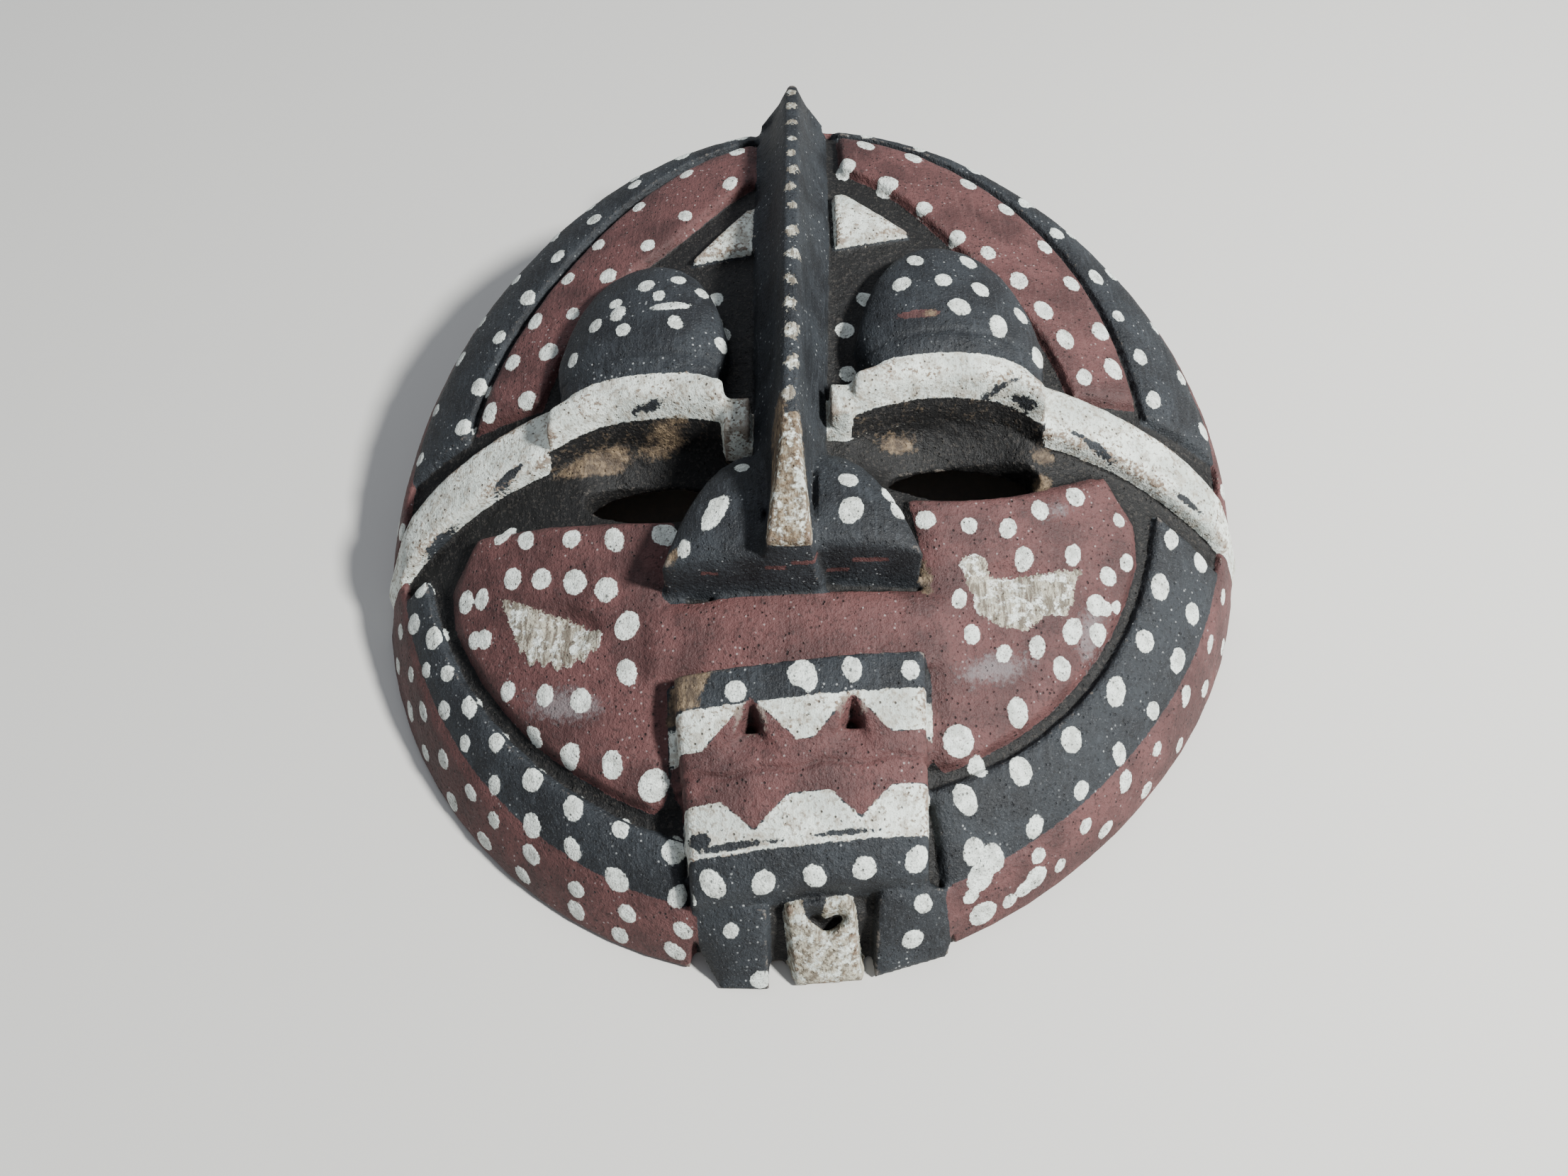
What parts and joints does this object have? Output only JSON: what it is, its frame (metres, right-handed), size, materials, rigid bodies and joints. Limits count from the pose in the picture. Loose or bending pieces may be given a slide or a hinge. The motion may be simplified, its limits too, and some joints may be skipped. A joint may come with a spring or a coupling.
{
  "type": "carved wooden mask",
  "caption": "Round hand-carved wooden face mask with a crest, brow domes, pierced eyes, a square mouth and dotted black, red and white paint, hollow behind.",
  "frame": {"origin": "middle of the mask's plan box, on the plane that its back rim rests on", "axes": "+Z out of the face, away from the back rim; +Y towards the tip of the crest; +X towards the viewer's right when the face is looked at with the crest up"},
  "size_m": [0.2004, 0.2114, 0.0655],
  "materials": {
    "black_paint": "matt blue-black earth paint, dotted with white",
    "red_paint": "matt red-brown earth paint, dotted with white",
    "white_paint": "matt white clay paint with brown grime",
    "bare_wood": "bare rough-carved wood, dark in the grooves"
  },
  "bodies": {
    "root": {"crest": "black_paint", "nose_wing_left": "black_paint", "nose_wing_right": "black_paint", "brow_dome_left": "black_paint", "brow_dome_right": "black_paint", "band_upper_left": "black_paint", "band_upper_right": "black_paint", "band_lower_left": "black_paint", "band_lower_right": "black_paint", "mouth_upper_band": "black_paint", "mouth_lower_band": "black_paint", "chin_block_left": "black_paint", "chin_block_right": "black_paint", "crescent_left": "red_paint", "crescent_right": "red_paint", "cheek_left": "red_paint", "cheek_right": "red_paint", "rim_strip_upper": "red_paint", "rim_strip_lower_left": "red_paint", "rim_strip_lower_right": "red_paint", "under_nose_strip": "red_paint", "mouth_lips": "red_paint", "brow_bar_left": "white_paint", "brow_bar_right": "white_paint", "bar_end_left": "white_paint", "bar_end_right": "white_paint", "side_bar_left": "white_paint", "side_bar_right": "white_paint", "triangle_left": "white_paint", "triangle_right": "white_paint", "mouth_upper_teeth": "white_paint", "mouth_lower_teeth": "white_paint", "chin_lug": "white_paint", "shell": "bare_wood"}
  },
  "joints": []
}
